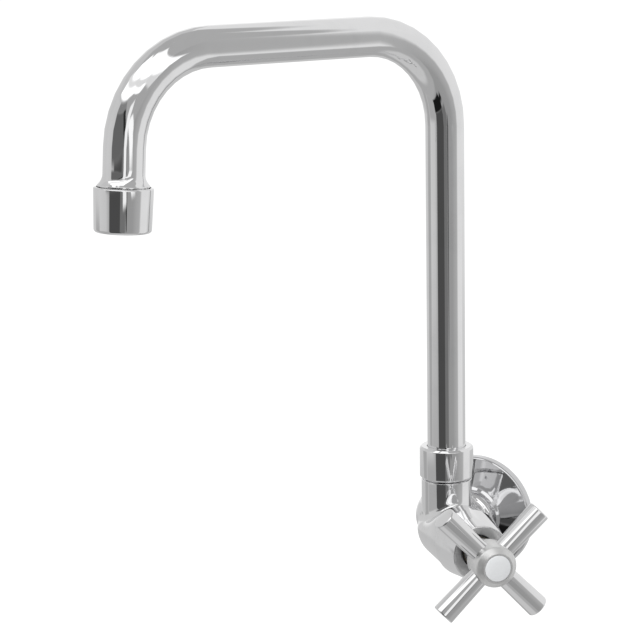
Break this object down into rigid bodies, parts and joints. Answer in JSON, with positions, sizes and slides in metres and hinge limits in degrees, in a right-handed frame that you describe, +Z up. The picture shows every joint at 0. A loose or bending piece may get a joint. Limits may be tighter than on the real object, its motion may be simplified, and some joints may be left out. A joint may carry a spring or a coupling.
{
  "type": "commercial wall faucet",
  "caption": "Chrome wall-mounted kitchen tap: high square swivel spout with an aerator over a short angled valve with a cross handle and a round wall flange.",
  "frame": {"origin": "where the inlet axis meets the wall plane", "axes": "+Z up, +Y into the wall along the inlet, +X to the right of someone facing the wall"},
  "size_m": [0.1604, 0.2276, 0.2898],
  "materials": {
    "chrome": "polished",
    "satin_chrome": "satin",
    "brass": "machined",
    "steel": "machined",
    "rubber": "matte",
    "white_plastic": "gloss",
    "pale_plastic": "matte",
    "grey_plastic": "matte"
  },
  "bodies": {
    "root": {"valve_body": "chrome", "valve_seat": "brass", "headwork": "brass", "headwork_gasket": "rubber", "spindle_packing": "pale_plastic", "gland_nut": "brass", "bonnet_sleeve": "chrome", "wall_flange": "chrome", "collar_nut": "chrome"},
    "spout": {"spout_tube": "chrome", "spout_ferrule": "brass", "spout_rings": "rubber", "spout_bush": "pale_plastic", "outlet_ferrule": "chrome", "aerator_shell": "chrome", "aerator_washer": "rubber", "aerator_insert": "grey_plastic", "aerator_screen": "steel"},
    "washer_carrier": {"jumper": "brass", "seat_washer": "rubber", "washer_screw": "steel"},
    "handle": {"spindle": "brass", "handle_hub": "satin_chrome", "handle_arm_1": "chrome", "handle_arm_2": "chrome", "handle_arm_3": "chrome", "handle_arm_4": "chrome", "handle_screw": "steel", "index_button": "white_plastic"}
  },
  "joints": [
    {"name": "spout_swivel", "type": "hinge", "parent": "root", "child": "spout", "pos_m": [0, -0.0375, 0.0034], "axis": [0, 0, 1], "range_deg": [-69, 121]},
    {"name": "stem_lift", "type": "slide", "parent": "root", "child": "washer_carrier", "axis": [0.7071, -0.7071, 0], "range_m": [0, 0.0025]},
    {"name": "handle_turn", "type": "hinge", "parent": "washer_carrier", "child": "handle", "pos_m": [0, -0.0375, 0.0034], "axis": [0.7071, -0.7071, 0], "range_deg": [0, 450]}
  ],
  "couplings": [
    {"joint": "stem_lift", "follows": "handle_turn", "m_per_rad": 0.0003183}
  ]
}
